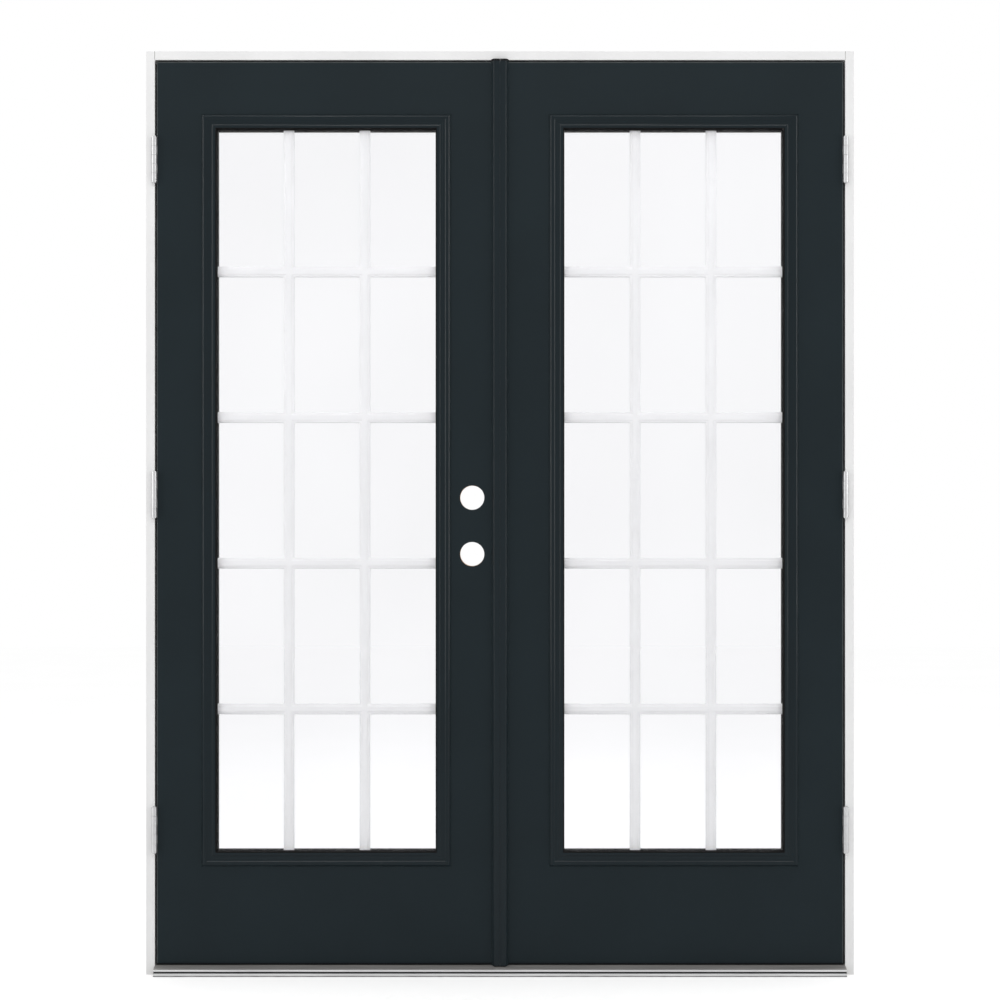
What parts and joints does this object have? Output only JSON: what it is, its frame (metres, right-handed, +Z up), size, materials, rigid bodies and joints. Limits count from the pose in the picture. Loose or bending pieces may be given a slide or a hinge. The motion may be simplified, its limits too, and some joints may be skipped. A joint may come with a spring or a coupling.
{
  "type": "french doors",
  "caption": "Outswing pair of glazed doors in a rabbeted frame with sill, raised lite frames, a grille between the panes, hinges, a centre nosing and lock bores.",
  "frame": {"origin": "underside of the sill, midway between the jambs, in the plane of the outer jamb faces", "axes": "+Z up, +X along the wall to the right seen from outside, +Y indoors"},
  "size_m": [1.5728, 0.1439, 2.052],
  "materials": {
    "jamb_white": "smooth white paint",
    "sill_composite": "moulded composite",
    "sill_aluminium": "mill finish with extrusion lines",
    "seal_grey": "foam filled vinyl",
    "rubber_black": "black rubber",
    "hinge_satin": "satin",
    "zinc_steel": "zinc plated",
    "slab_dark": "satin paint on a smooth moulded skin",
    "lite_dark": "satin paint on a moulding",
    "cap_dark": "satin paint on an extrusion",
    "core_wood": "planed softwood",
    "core_foam": "rigid foam",
    "clear_glass": "clear float",
    "spacer_metal": "roll formed",
    "grille_white": "white enamel"
  },
  "bodies": {
    "frame": {"left_jamb": "jamb_white", "right_jamb": "jamb_white", "head_jamb": "jamb_white", "sill_substrate": "sill_composite", "sill_deck": "sill_aluminium", "sill_bumper": "sill_composite", "sill_seal": "seal_grey", "side_weatherstrips": "seal_grey", "head_weatherstrip": "seal_grey", "foot_pads": "rubber_black", "frame_screws": "zinc_steel", "head_strike": "zinc_steel", "sill_socket": "zinc_steel", "left_jamb_hinge_leaves": "hinge_satin", "right_jamb_hinge_leaves": "hinge_satin", "hinge_pins": "hinge_satin", "frame_plate_screws": "hinge_satin"},
    "active_leaf": {"active_exterior_skin": "slab_dark", "active_interior_skin": "slab_dark", "active_hinge_stile": "core_wood", "active_lock_stile": "core_wood", "active_top_rail": "core_wood", "active_bottom_rail": "core_wood", "active_foam_core": "core_foam", "active_exterior_lite_frame": "lite_dark", "active_interior_lite_frame": "lite_dark", "active_lite_screws": "zinc_steel", "active_exterior_pane": "clear_glass", "active_interior_pane": "clear_glass", "active_glass_spacer": "spacer_metal", "active_glazing_tape": "rubber_black", "active_grille": "grille_white", "active_edge_cap": "cap_dark", "active_edge_pads": "rubber_black", "active_bottom_sweep": "rubber_black", "active_hinge_leaves": "hinge_satin", "active_hinge_screws": "hinge_satin"},
    "passive_leaf": {"passive_exterior_skin": "slab_dark", "passive_interior_skin": "slab_dark", "passive_hinge_stile": "core_wood", "passive_meeting_stile": "core_wood", "passive_top_rail": "core_wood", "passive_bottom_rail": "core_wood", "passive_foam_core": "core_foam", "passive_exterior_lite_frame": "lite_dark", "passive_interior_lite_frame": "lite_dark", "passive_lite_screws": "zinc_steel", "passive_exterior_pane": "clear_glass", "passive_interior_pane": "clear_glass", "passive_glass_spacer": "spacer_metal", "passive_glazing_tape": "rubber_black", "passive_grille": "grille_white", "passive_edge_cap": "cap_dark", "passive_edge_pads": "rubber_black", "passive_meeting_seal": "seal_grey", "passive_bottom_sweep": "rubber_black", "passive_hinge_leaves": "hinge_satin", "passive_hinge_screws": "hinge_satin"},
    "top_bolt": {"top_edge_bolt": "zinc_steel"},
    "bottom_bolt": {"bottom_edge_bolt": "zinc_steel"}
  },
  "joints": [
    {"name": "active_hinge", "type": "hinge", "parent": "frame", "child": "active_leaf", "pos_m": [-0.7673, -0.0065, 0], "axis": [0, 0, -1], "range_deg": [0, 170]},
    {"name": "passive_hinge", "type": "hinge", "parent": "frame", "child": "passive_leaf", "pos_m": [0.7673, -0.0065, 0], "axis": [0, 0, 1], "range_deg": [0, 170]},
    {"name": "top_bolt_slide", "type": "slide", "parent": "passive_leaf", "child": "top_bolt", "axis": [0, 0, 1], "range_m": [0, 0.016]},
    {"name": "bottom_bolt_slide", "type": "slide", "parent": "passive_leaf", "child": "bottom_bolt", "axis": [0, 0, -1], "range_m": [0, 0.016]}
  ]
}
